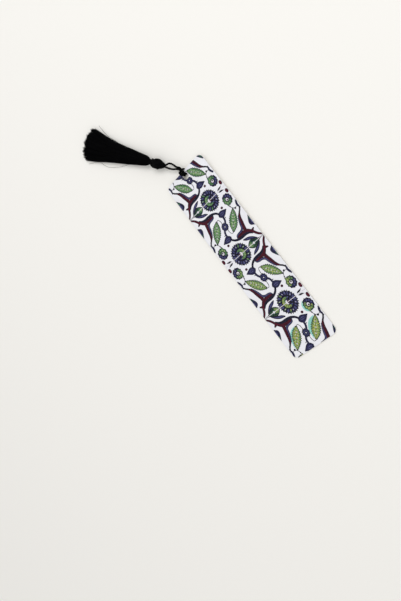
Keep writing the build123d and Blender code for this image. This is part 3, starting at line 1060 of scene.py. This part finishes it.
# Threads end furthest from the neck left of the middle, and fall short by so much at the sides
THREAD_END = 87.6
THREAD_END_AT = -0.35
RIGHT_SHORT = 11.6
LEFT_SHORT = 4.6

# Stretch over which the skirt comes down to the floor, and its gap there
SETTLE_START = 1.6
SETTLE_LENGTH = 22.0
FLOOR_GAP = 0.05

# Where the slip rests on its hitch, from the top edge
HITCH_INSET = 2.0


def along_skirt(column, distance):
    """A smooth value of an outline column at a distance from the neck."""
    last = len(SKIRT_ALONG) - 1
    index = max(i for i in range(last) if SKIRT_ALONG[i] <= max(distance, SKIRT_ALONG[0]))
    low, high = SKIRT_ALONG[index], SKIRT_ALONG[index + 1]

    def slope(i):
        left, right = max(i - 1, 0), min(i + 1, last)
        return (column[right] - column[left]) / (SKIRT_ALONG[right] - SKIRT_ALONG[left])

    t = min(max((distance - low) / (high - low), 0.0), 1.0)
    rise = column[index] + (column[index + 1] - column[index]) * t * t * (3 - 2 * t)
    start, end = slope(index) * (high - low), slope(index + 1) * (high - low)
    return rise + start * t * (1 - t) ** 2 - end * t * t * (1 - t)


def floor_level(y):
    """Height of the floor in millimetres under a point, for the slip lies on its hitch."""
    fall = bpy.context.scene.bookmark_stage.tilt / MM
    length = (SLIP_HIGH.y - SLIP_LOW.y) / MM
    return -fall * (y / MM - SLIP_LOW.y / MM) / (length - HITCH_INSET)


def skirt_place(distance, across, rise):
    """A point of the skirt: distance from the neck, share of its width and of its height."""
    tassel = bpy.context.scene.bookmark_tassel
    right, left = along_skirt(SKIRT_RIGHT, distance), along_skirt(SKIRT_LEFT, distance)
    up = along_skirt(SKIRT_UP, distance)
    aside = (right - left) / 2 + across * (right + left) / 2
    flat = knot_place((tassel.stem + tassel.neck) / MM + distance, aside)
    share = min(max((distance - SETTLE_START) / SETTLE_LENGTH, 0.0), 1.0)
    ease = share * share * (3 - 2 * share)
    level = PIVOTS["skirt_lift"].z / MM
    level += ease * (floor_level(flat.y) + up + FLOOR_GAP - level)
    flat.z = (level + rise * up) * MM
    return flat


def skirt_end(across):
    """Where the threads end: longest left of the middle, and the outer ones hang back."""
    away = across - THREAD_END_AT
    short, room = (RIGHT_SHORT, 1 - THREAD_END_AT) if away > 0 else (LEFT_SHORT, 1 + THREAD_END_AT)
    return THREAD_END - short * (away / room) ** 2


def lock_guides(settings):
    """One line down the middle of each lock of threads, with the room around it."""
    draw = random.Random(settings.seed)
    stations = (-2.3, -1.4, -0.4, 1.0, 2.2, 3.6, 5.5, 9.0, 15.0, 26.0, 40.0, 54.0, 66.0)
    columns, rows = 24, (-0.6, 0.0, 0.6)
    # Room and shift of the locks as shares, and stretches of sway and looseness in millimetres
    reach, shift = 0.95, 0.25
    sway_length, sway_wave = 81.0, 13.0
    bound, loosened = 8.0, 73.0
    wide, tall = 0.62, 0.36
    points, edges, spread, lift, loose = [], [], [], [], []
    for row in rows:
        for column in range(columns):
            across = reach * (2 * (column + 0.5 + draw.uniform(-shift, shift)) / columns - 1)
            depth = math.sqrt(1 - across**2)
            sway, phase = draw.uniform(0.3, 1.0), draw.uniform(0, 6.28)
            end = skirt_end(across) + draw.uniform(-1.6, 1.2)
            for index, distance in enumerate([*stations, end]):
                place = skirt_place(distance, across, row * depth)
                swung = max(distance / sway_length, 0.0) ** 1.5
                bend = sway * swung * math.sin(phase + distance / sway_wave)
                width = along_skirt(SKIRT_RIGHT, distance) + along_skirt(SKIRT_LEFT, distance)
                points.append(place + right_of(KNOT_WAY) * bend * MM)
                spread.append(right_of(KNOT_WAY) * width * wide / columns * MM)
                lift.append(UP * along_skirt(SKIRT_UP, distance) * depth * tall * MM)
                loose.append(max(distance - bound, 0.0) / loosened)
                if index:
                    edges.append((len(points) - 2, len(points) - 1))
    mesh = bpy.data.meshes.new("lock_guides")
    mesh.from_pydata(points, edges, [])
    for name, values in (("spread", spread), ("lift", lift)):
        attribute = mesh.attributes.new(name, "FLOAT_VECTOR", "POINT")
        attribute.data.foreach_set("vector", [c for value in values for c in value])
    mesh.attributes.new("loose", "FLOAT", "POINT").data.foreach_set("value", loose)
    return mesh


# Loose threads beside the skirt, as distances from the neck and to the right
STRAY_HEIGHT = 1.4
STRAYS = (
    ((46.5, 9.5), (54.4, 11.0), (60.5, 13.4), (66.8, 17.0), (70.7, 19.8)),
    ((24.4, -6.9), (35.7, -12.5), (46.4, -15.9), (54.8, -17.1), (63.9, -15.0)),
    ((66.6, -14.8), (72.9, -17.4), (79.1, -19.6)),
)


def stray_threads(drawing, settings):
    """Threads that lie apart from the skirt on the floor."""
    for stray in STRAYS:
        line = []
        for distance, aside in smooth_line(stray, 8):
            place = knot_place((settings.stem + settings.neck) / MM + distance, aside)
            place.z = (floor_level(place.y) + STRAY_HEIGHT) * MM
            line.append(place)
        tube(drawing, line, settings.thread / 2, 6)


def named(tree, name, kind):
    made = node(tree, "GeometryNodeInputNamedAttribute", data_type=kind)
    made.inputs["Name"].default_value = name
    return made.outputs["Attribute"]


def vector_maths(tree, operation, first, second):
    made = node(tree, "ShaderNodeVectorMath", operation=operation)
    tree.links.new(first, made.inputs[0])
    target = made.inputs["Scale"] if operation == "SCALE" else made.inputs[1]
    if isinstance(second, bpy.types.NodeSocket):
        tree.links.new(second, target)
    else:
        target.default_value = second
    return made.outputs[0]


def random_value(tree, entry, kind, low, high, salt, identity=None):
    """A random number or vector with the tree's seed and its own salt."""
    made = node(tree, "FunctionNodeRandomValue", data_type=kind)
    live = [socket for socket in made.inputs if socket.enabled]
    live[0].default_value = low
    live[1].default_value = high
    seed = maths(tree, "ADD", entry.outputs["Seed"], float(salt))
    tree.links.new(seed, made.inputs["Seed"])
    if identity:
        tree.links.new(identity, made.inputs["ID"])
    return next(socket for socket in made.outputs if socket.enabled)


def thread_locks_tree():
    """Fills each lock round its guide with single threads of uneven length."""
    tree = bpy.data.node_groups.new("thread_locks", "GeometryNodeTree")
    inputs = [
        ("Guides", "NodeSocketGeometry", None),
        ("Threads", "NodeSocketInt", 30),
        ("Thread diameter", "NodeSocketFloat", 0.0003),
        ("Wander", "NodeSocketFloat", 0.001),
        ("Seed", "NodeSocketInt", 0),
        ("Finish", "NodeSocketMaterial", None),
    ]
    entry, result = group_sockets(tree, inputs, [("Geometry", "NodeSocketGeometry")])
    guides = node(tree, "GeometryNodeMeshToCurve")
    feed(tree, guides, entry.outputs["Guides"])
    many = node(tree, "GeometryNodeDuplicateElements", domain="SPLINE")
    feed(tree, many, guides.outputs[0], None, entry.outputs["Threads"])
    thread = node(tree, "GeometryNodeCurveOfPoint").outputs["Curve Index"]
    place = random_value(tree, entry, "FLOAT_VECTOR", (-1, -1, -1), (1, 1, 1), 1, thread)
    shares = node(tree, "ShaderNodeSeparateXYZ")
    feed(tree, shares, place)
    aside = vector_maths(tree, "SCALE", named(tree, "spread", "FLOAT_VECTOR"), shares.outputs["X"])
    rise = vector_maths(tree, "SCALE", named(tree, "lift", "FLOAT_VECTOR"), shares.outputs["Y"])
    filled = node(tree, "GeometryNodeSetPosition")
    feed(tree, filled, many.outputs[0], None, None, vector_maths(tree, "ADD", aside, rise))
    drift_scale, thread_scale = 55.0, 9.0
    where = vector_maths(tree, "SCALE", node(tree, "GeometryNodeInputPosition").outputs[0], drift_scale)
    apart = vector_maths(tree, "ADD", where, vector_maths(tree, "SCALE", place, thread_scale))
    drift = noise(tree, apart, scale=1.0, detail=2.0, roughness=0.5)
    centred = vector_maths(tree, "SUBTRACT", drift.outputs["Color"], (0.5, 0.5, 0.5))
    flat = vector_maths(tree, "MULTIPLY", centred, (2.0, 2.0, 0.5))
    amount = maths(tree, "MULTIPLY", named(tree, "loose", "FLOAT"), entry.outputs["Wander"])
    strayed = node(tree, "GeometryNodeSetPosition")
    feed(tree, strayed, filled.outputs[0], None, None, vector_maths(tree, "SCALE", flat, amount))
    shortest = 0.955
    shorter = random_value(tree, entry, "FLOAT", shortest, 1.0, 2)
    trimmed = node(tree, "GeometryNodeTrimCurve", mode="FACTOR")
    feed(tree, trimmed, strayed.outputs[0], None, 0.0, shorter)
    shade = node(tree, "GeometryNodeStoreNamedAttribute", data_type="FLOAT", domain="CURVE")
    shade_value = random_value(tree, entry, "FLOAT", 0.0, 1.0, 3)
    feed(tree, shade, trimmed.outputs[0], None, "thread_shade", shade_value)
    section = node(tree, "GeometryNodeCurvePrimitiveCircle", mode="RADIUS")
    section.inputs["Resolution"].default_value = 3
    radius = maths(tree, "MULTIPLY", entry.outputs["Thread diameter"], 0.5)
    tree.links.new(radius, section.inputs["Radius"])
    swept = node(tree, "GeometryNodeCurveToMesh")
    tree.links.new(shade.outputs[0], swept.inputs["Curve"])
    tree.links.new(section.outputs["Curve"], swept.inputs["Profile Curve"])
    real = node(tree, "GeometryNodeRealizeInstances")
    tree.links.new(swept.outputs[0], real.inputs[0])
    dyed = node(tree, "GeometryNodeSetMaterial")
    feed(tree, dyed, real.outputs[0], None, entry.outputs["Finish"])
    tree.links.new(dyed.outputs[0], result.inputs[0])
    return tree


# Weave of the knot, turns of its collar and of the binding, in millimetres
LEADS, BIGHTS = 3, 4
WEAVE_LEAN = math.radians(61)
WEAVE_POINTS = 560
WEAVE_SIDES, WEAVE_TWISTS = 15, 18
COLLAR_TURNS = 3.2
COLLAR_BEFORE_BALL = 7.4
COLLAR_LENGTH = 4.2
COLLAR_REACH, COLLAR_GROWTH = 1.2, 1.9
BINDING_BEFORE_NECK = 1.0
BINDING_PITCH = 0.42
BINDING_REACH, BINDING_GROWTH = 1.95, 0.6

# Spans round a pivot: how far before and after it, in millimetres; no piece bends over them
SWING_BEND = (1.4, 0.8)
LIFT_BEND = (0.8, 1.2)
STEM_BEND = (1.6, 1.6)


def woven_ball(drawing, centre, settings, cord):
    """Two cords side by side, woven over and under round a ball: three leads, four bights."""
    axis, across = KNOT_WAY * settings.ball_stretch, right_of(KNOT_WAY)
    middle, outward = [], []
    for index in range(WEAVE_POINTS):
        t = 2 * math.pi * index / WEAVE_POINTS
        turn, tilt = LEADS * t, WEAVE_LEAN * math.cos(BIGHTS * t)
        around = across * math.cos(turn) + UP * math.sin(turn)
        out = around * math.cos(tilt) + axis * math.sin(tilt)
        reach = settings.ball + settings.weave * math.sin(2 * BIGHTS * t)
        middle.append(centre + out * reach)
        outward.append(out)
    for side in (-1, 1):
        strand = []
        for index, point in enumerate(middle):
            way = (middle[(index + 1) % WEAVE_POINTS] - middle[index - 1]).normalized()
            aside = way.cross(outward[index]).normalized()
            strand.append(point + aside * side * cord.diameter * 0.5)
        radius = cord.diameter / 2 + cord.proud
        tube(drawing, strand, radius, WEAVE_SIDES, cord.plies, cord.groove, WEAVE_TWISTS, outward)


def wound_collar(drawing, settings, cord):
    """The cords' own turns that taper from the ball to the doubled run."""
    steps = 26
    line = []
    for index in range(round(steps * COLLAR_TURNS) + 1):
        share = index / (steps * COLLAR_TURNS)
        angle = 2 * math.pi * index / steps
        reach = COLLAR_REACH + COLLAR_GROWTH * share
        along = settings.stem / MM - COLLAR_BEFORE_BALL + COLLAR_LENGTH * share
        line.append(knot_place(along, reach * math.cos(angle), reach * math.sin(angle)))
    twisted_tube(drawing, line, cord)


def ball_core(drawing, centre, settings):
    """Wound core that closes the gaps of the weave."""
    matrix = Matrix.Translation(centre) @ Matrix.Scale(settings.ball_stretch, 4, KNOT_WAY)
    bmesh.ops.create_icosphere(drawing, subdivisions=4, radius=settings.ball, matrix=matrix)
    for face in drawing.faces:
        face.smooth = True


def bend_span(joint, before, after, reach):
    """Points before and after a joint, from the ways into and out of it and its reach; nothing bends between
    them.
    """
    pivot = PIVOTS[joint]
    return {"start": pivot - before * reach[0] * MM, "end": pivot + after * reach[1] * MM}


def bend_at_neck(piece):
    """Bakes a piece's place into its mesh; it does not bend over the neck from the knot's body to the
    skirt's.
    """
    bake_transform(piece)


def piece_of(name, mesh, body, slot, material, *nodes):
    """A finished piece that rides on a body, or for the neck has its place baked into its mesh, and may stand
    for CAD nodes.
    """
    piece = show(name, mesh, material)
    if body == "neck":
        bend_at_neck(piece)
    else:
        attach(piece, body)
    if nodes:
        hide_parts(*nodes)
    return piece


def cord_piece(name, lines, settings, near, far, span, *nodes):
    """Lengths of the cord, baked in place, that stand for CAD nodes; they do not bend from one body to the
    next.
    """
    def lay_down(drawing):
        for line in lines:
            twisted_tube(drawing, line, settings)

    piece = show(name, mesh_from(name, lay_down), twisted_finish(settings))
    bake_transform(piece)
    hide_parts(*nodes)
    return piece


# Operators
class BOOKMARK_OT_slip(bpy.types.Operator):
    """Gives the slip's board and papers their finishes"""

    bl_idname = "bookmark.slip"
    bl_label = "Finish slip"

    def execute(self, context):
        slip = context.scene.bookmark_slip
        finishes = {
            "front_sheet": paper("printed_ground", slip.printed, darker=0.94, fibre_scale=2600.0, bump=0.25),
            "back_sheet": paper("back_paper", slip.back, darker=0.95, fibre_scale=1900.0, bump=0.45),
            "core_board": paper("board_edge", slip.board, darker=0.82, fibre_scale=3400.0, bump=0.8),
        }
        for name, material in finishes.items():
            slots = frame["nodes"][name].data.materials
            slots.clear()
            slots.append(material)
        return {"FINISHED"}


class BOOKMARK_OT_ornament(bpy.types.Operator):
    """Prints the tile ornament, one flat piece for each ink"""

    bl_idname = "bookmark.ornament"
    bl_label = "Print ornament"

    def execute(self, context):
        slip = context.scene.bookmark_slip
        materials = ink_materials(context.scene.bookmark_inks)
        tile = draw_half_tile()
        repeat = tile_repeat_tree()
        for layer, ink_name in enumerate(INK_LAYERS, start=1):
            height = SLIP_HIGH.z + layer * slip.ink_step
            if ink_name == "sea":
                mesh = draw_wash().mesh_of(ink_name, slip.stroke_step, SLIP_HIGH.y, height)
            else:
                holder = show("half_tile_" + ink_name, tile.mesh_of(ink_name, slip.stroke_step))
                values = {
                    "Half tile": holder,
                    "Ink": materials[ink_name],
                    "Joints": slip.joints,
                    "First joint": slip.first_joint,
                    "Tile pitch": slip.tile_pitch,
                    "Height": height,
                }
                mesh = plain_mesh("ornament_" + ink_name, repeat, values)
                bpy.data.objects.remove(holder)
            fit_print(mesh, slip)
            trim_to_slip(mesh, slip)
            if not mesh.polygons:
                raise RuntimeError("no shapes are left in the ink " + ink_name)
            piece_of("ornament_" + ink_name, mesh, "slip", "printed_paper", materials[ink_name])
        return {"FINISHED"}


class BOOKMARK_OT_knot(bpy.types.Operator):
    """Ties the woven ball knot"""

    bl_idname = "bookmark.knot"
    bl_label = "Tie knot"

    def execute(self, context):
        tassel, cord = context.scene.bookmark_tassel, context.scene.bookmark_cord
        material = twisted_finish(cord)
        centre = knot_place((tassel.stem + tassel.ball_set) / MM, 0)

        def tie(drawing):
            woven_ball(drawing, centre, tassel, cord)
            wound_collar(drawing, tassel, cord)

        mesh = mesh_from("ball_knot", tie)
        piece_of("ball_knot", mesh, "knot", "cord", material, "button_knot")
        core = mesh_from("ball_core", lambda drawing: ball_core(drawing, centre, tassel))
        piece_of("ball_core", core, "knot", "cord", material)
        return {"FINISHED"}


class BOOKMARK_OT_binding(bpy.types.Operator):
    """Winds the binding thread round the neck of the skirt"""

    bl_idname = "bookmark.binding"
    bl_label = "Wind binding"

    def execute(self, context):
        tassel, cord = context.scene.bookmark_tassel, context.scene.bookmark_cord
        # the binding thread takes the cord's painted sheen on its fibres
        material = spun_cord("binding_thread", tassel.black, cord.painted_sheen, fibres=12.0, slant=0.5)
        steps, turns = 28, tassel.binding_turns
        start = (tassel.stem + tassel.neck) / MM - BINDING_BEFORE_NECK
        line = []
        for index in range(steps * turns + 1):
            angle = 2 * math.pi * index / steps
            along = start + BINDING_PITCH * index / steps
            reach = BINDING_REACH + BINDING_GROWTH * index / (steps * turns)
            line.append(knot_place(along, reach * math.cos(angle), reach * math.sin(angle)))
        mesh = mesh_from("neck_winding", lambda drawing: tube(drawing, line, tassel.binding / 2, 8))
        piece_of("neck_winding", mesh, "neck", "threads", material, "neck_binding")
        return {"FINISHED"}


class BOOKMARK_OT_skirt(bpy.types.Operator):
    """Hangs the skirt of threads"""

    bl_idname = "bookmark.skirt"
    bl_label = "Hang skirt"

    def execute(self, context):
        tassel = context.scene.bookmark_tassel
        material = silky_thread(tassel.black, tassel.sheen)
        values = {
            "Threads": tassel.threads,
            "Thread diameter": tassel.thread,
            "Wander": tassel.wander,
            "Seed": tassel.seed,
            "Finish": material,
        }
        mesh = plain_mesh("skirt_threads", thread_locks_tree(), values, lock_guides(tassel))
        if not mesh.polygons:
            raise RuntimeError("the skirt has no threads")
        mesh.shade_smooth()
        piece_of("skirt_threads", mesh, "neck", "threads", material, "thread_skirt")
        strays = mesh_from("stray_threads", lambda drawing: stray_threads(drawing, tassel))
        piece_of("stray_threads", strays, "skirt", "threads", material)
        return {"FINISHED"}


class BOOKMARK_OT_cords(bpy.types.Operator):
    """Lays the cord through the hole and the loop up to the knot"""

    bl_idname = "bookmark.cords"
    bl_label = "Lay cords"

    def execute(self, context):
        cord = context.scene.bookmark_cord
        hitch = cord_line(hitch_route(cord))
        loop = cord_line(loop_route(cord))
        first = point_past(loop, cord.bend)
        last = len(loop) - 1 - point_past(loop[::-1], cord.bend)

        runs = [loop[:first + 1], loop[last:]]
        loop = loop[first:last + 1]

        span = bend_span("cord_swing", SLIP_WAY, LOOP_WAY, SWING_BEND)
        hitch_cord = cord_piece("hitch_cord", [hitch], cord, "slip", "cord_neck", span, "cord_hitch")
        span = bend_span("loop_lift", LOOP_WAY, LOOP_WAY, LIFT_BEND)
        cord_piece("neck_cord", runs, cord, "cord_neck", "loop", span, "cord_neck")
        span = bend_span("knot_swing", KNOT_WAY, KNOT_WAY, STEM_BEND)
        legs = ("cord_leg_left", "cord_leg_right")
        loop_cord = cord_piece("loop_cord", [loop], cord, "loop", "knot", span, *legs)

        return {"FINISHED"}


# Stage in metres, with the camera's own directions and its sensor in millimetres
FLOOR_HALF = 1.5
LAMP_SIZE = 0.9
LAMP_PLACE = (0.75, 0.6, 1.3)
LAMP_AIM = Vector((-0.01, 0.05, 0))
SENSOR_WIDTH = 36.0
CAMERA_PLACE = (0.21224, -0.06415, 0.42399)
CAMERA_RIGHT = (0.62754, -0.59217, -0.50553)
CAMERA_UP = (0.55066, 0.79659, -0.24948)
CAMERA_BACK = (0.55043, -0.12176, 0.82596)


class BOOKMARK_OT_stage(bpy.types.Operator):
    """Sets the floor, the light and the camera"""

    bl_idname = "bookmark.stage"
    bl_label = "Set stage"

    def execute(self, context):
        stage = context.scene.bookmark_stage
        floor_material, _, shader = finish_material("pale_floor")
        shader.inputs["Base Color"].default_value = (*stage.floor, 1)
        shader.inputs["Roughness"].default_value = 0.85
        corners = [(-FLOOR_HALF, -FLOOR_HALF), (FLOOR_HALF, -FLOOR_HALF)]
        corners += [(FLOOR_HALF, FLOOR_HALF), (-FLOOR_HALF, FLOOR_HALF)]
        points = [(x, y, floor_level(y) * MM - FLOOR_GAP * MM) for x, y in corners]
        mesh = bpy.data.meshes.new("floor")
        mesh.from_pydata(points, [], [(0, 1, 2, 3)])
        show("floor", mesh, floor_material)

        world = bpy.data.worlds.new("studio")
        world.use_nodes = True
        sky = world.node_tree.nodes["Background"]
        sky.inputs["Color"].default_value = (1, 1, 1, 1)
        sky.inputs["Strength"].default_value = stage.world
        context.scene.world = world
        lamp = bpy.data.lights.new("key", "AREA")
        lamp.shape = "DISK"
        lamp.size = LAMP_SIZE
        lamp.energy = stage.key
        holder = bpy.data.objects.new("key", lamp)
        holder.location = LAMP_PLACE
        aim = LAMP_AIM - holder.location
        holder.rotation_euler = aim.to_track_quat("-Z", "Y").to_euler()
        context.scene.collection.objects.link(holder)

        camera = bpy.data.cameras.new("camera")
        camera.lens = stage.lens
        camera.sensor_width = SENSOR_WIDTH
        camera.clip_start = 0.01
        viewer = bpy.data.objects.new("camera", camera)
        turn = Matrix((CAMERA_RIGHT, CAMERA_UP, CAMERA_BACK)).transposed().to_4x4()
        viewer.matrix_world = Matrix.Translation(CAMERA_PLACE) @ turn
        context.scene.collection.objects.link(viewer)
        context.scene.camera = viewer
        context.scene.view_settings.view_transform = "Standard"
        return {"FINISHED"}


class BOOKMARK_PT_panel(bpy.types.Panel):
    """Sizes, colours and steps of the bookmark"""

    bl_idname = "BOOKMARK_PT_panel"
    bl_label = "Bookmark"
    bl_space_type = "VIEW_3D"
    bl_region_type = "UI"
    bl_category = "Bookmark"

    def draw(self, context):
        for step in STEPS:
            self.layout.operator(step.bl_idname)
        for name in SETTINGS:
            box = self.layout.box()
            group = getattr(context.scene, name)
            for key in group.__annotations__:
                box.prop(group, key)


SETTINGS = {
    "bookmark_slip": SlipSettings,
    "bookmark_inks": InkSettings,
    "bookmark_cord": CordSettings,
    "bookmark_tassel": TasselSettings,
    "bookmark_stage": StageSettings,
}
STEPS = (
    BOOKMARK_OT_slip,
    BOOKMARK_OT_ornament,
    BOOKMARK_OT_knot,
    BOOKMARK_OT_binding,
    BOOKMARK_OT_skirt,
    BOOKMARK_OT_cords,
    BOOKMARK_OT_stage,
)


def register():
    for group in (*SETTINGS.values(), *STEPS, BOOKMARK_PT_panel):
        bpy.utils.register_class(group)
    for name, group in SETTINGS.items():
        setattr(bpy.types.Scene, name, PointerProperty(type=group))


def unregister():
    for name in SETTINGS:
        delattr(bpy.types.Scene, name)
    for group in reversed((*SETTINGS.values(), *STEPS, BOOKMARK_PT_panel)):
        bpy.utils.unregister_class(group)


def main():
    register()
    for step in STEPS:
        family, name = step.bl_idname.split(".")
        getattr(getattr(bpy.ops, family), name)()


if __name__ == "__main__":
    main()
